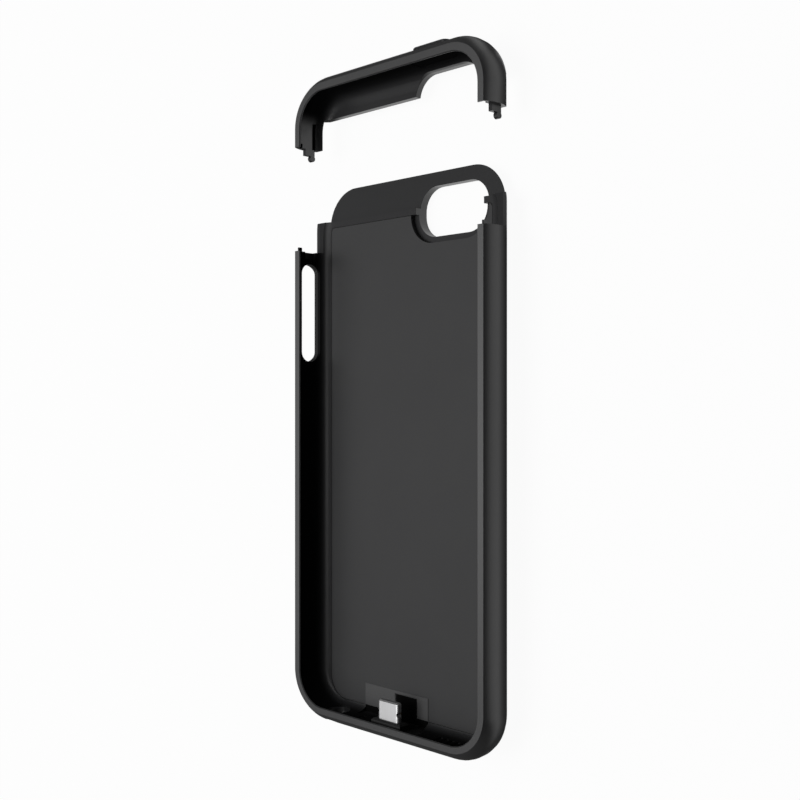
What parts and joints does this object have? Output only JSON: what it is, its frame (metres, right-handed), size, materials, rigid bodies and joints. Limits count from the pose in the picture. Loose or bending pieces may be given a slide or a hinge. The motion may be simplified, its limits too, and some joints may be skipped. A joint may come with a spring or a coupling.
{
  "type": "battery charging case",
  "caption": "Slim battery case for a handset: a lipped tray with a dock plug, a thin cell under its bed, and a cap with legs that slides off the top end.",
  "frame": {"origin": "centre of the footprint, on the flat back that the case lies on, cap taken off", "axes": "+Y along the case towards the cap, +Z from the back to the open front, X across"},
  "size_m": [0.063, 0.1554, 0.0126],
  "materials": {
    "shell_plastic": "fine satin black",
    "bed_plastic": "fine satin dark grey",
    "label_film": "smooth grey film, bare",
    "plug_metal": "satin nickel plating",
    "contact_gold": "thin gold plating",
    "base_plastic": "moulded black",
    "flex_film": "black film",
    "board_green": "solder resist",
    "screw_steel": "zinc plated",
    "led_body": "moulded white",
    "clear_pipe": "clear moulded",
    "button_plastic": "satin black",
    "chip_black": "moulded epoxy",
    "ferrite": "sintered grey",
    "ceramic": "fired ceramic",
    "cell_foil": "laminated foil pouch",
    "pad_foam": "black flocked foam",
    "tape": "foam adhesive tape",
    "lead_cover": "smooth insulation"
  },
  "bodies": {
    "tray": {"outer_shell": "shell_plastic", "inner_plate": "bed_plastic", "info_label": "label_film", "plug_pad": "pad_foam", "plug_tip": "plug_metal", "plug_contacts": "contact_gold", "plug_base": "base_plastic", "plug_flex": "flex_film", "main_board": "board_green", "board_screws": "screw_steel", "charge_socket": "plug_metal", "socket_insert": "base_plastic", "status_leds": "led_body", "light_pipes": "clear_pipe", "tact_switch": "screw_steel", "controller_chip": "chip_black", "power_chip": "chip_black", "inductor": "ferrite", "capacitors": "ceramic", "battery_cell": "cell_foil", "cell_adhesive": "tape", "guard_board": "board_green", "guard_pad": "tape", "cell_tabs": "screw_steel", "battery_leads": "lead_cover"},
    "cap": {"top_cap": "shell_plastic"},
    "power_key": {"power_button": "button_plastic"},
    "status_key": {"status_button": "button_plastic"}
  },
  "joints": [
    {"name": "cap_slide", "type": "slide", "parent": "tray", "child": "cap", "axis": [0, 1, 0], "range_m": [-0.0253, 0]},
    {"name": "power_press", "type": "slide", "parent": "cap", "child": "power_key", "axis": [0, -1, 0], "range_m": [0, 0.0004], "stiffness_N_per_m": 400},
    {"name": "status_press", "type": "slide", "parent": "tray", "child": "status_key", "axis": [0, 0, 1], "range_m": [0, 0.0003], "stiffness_N_per_m": 400}
  ]
}
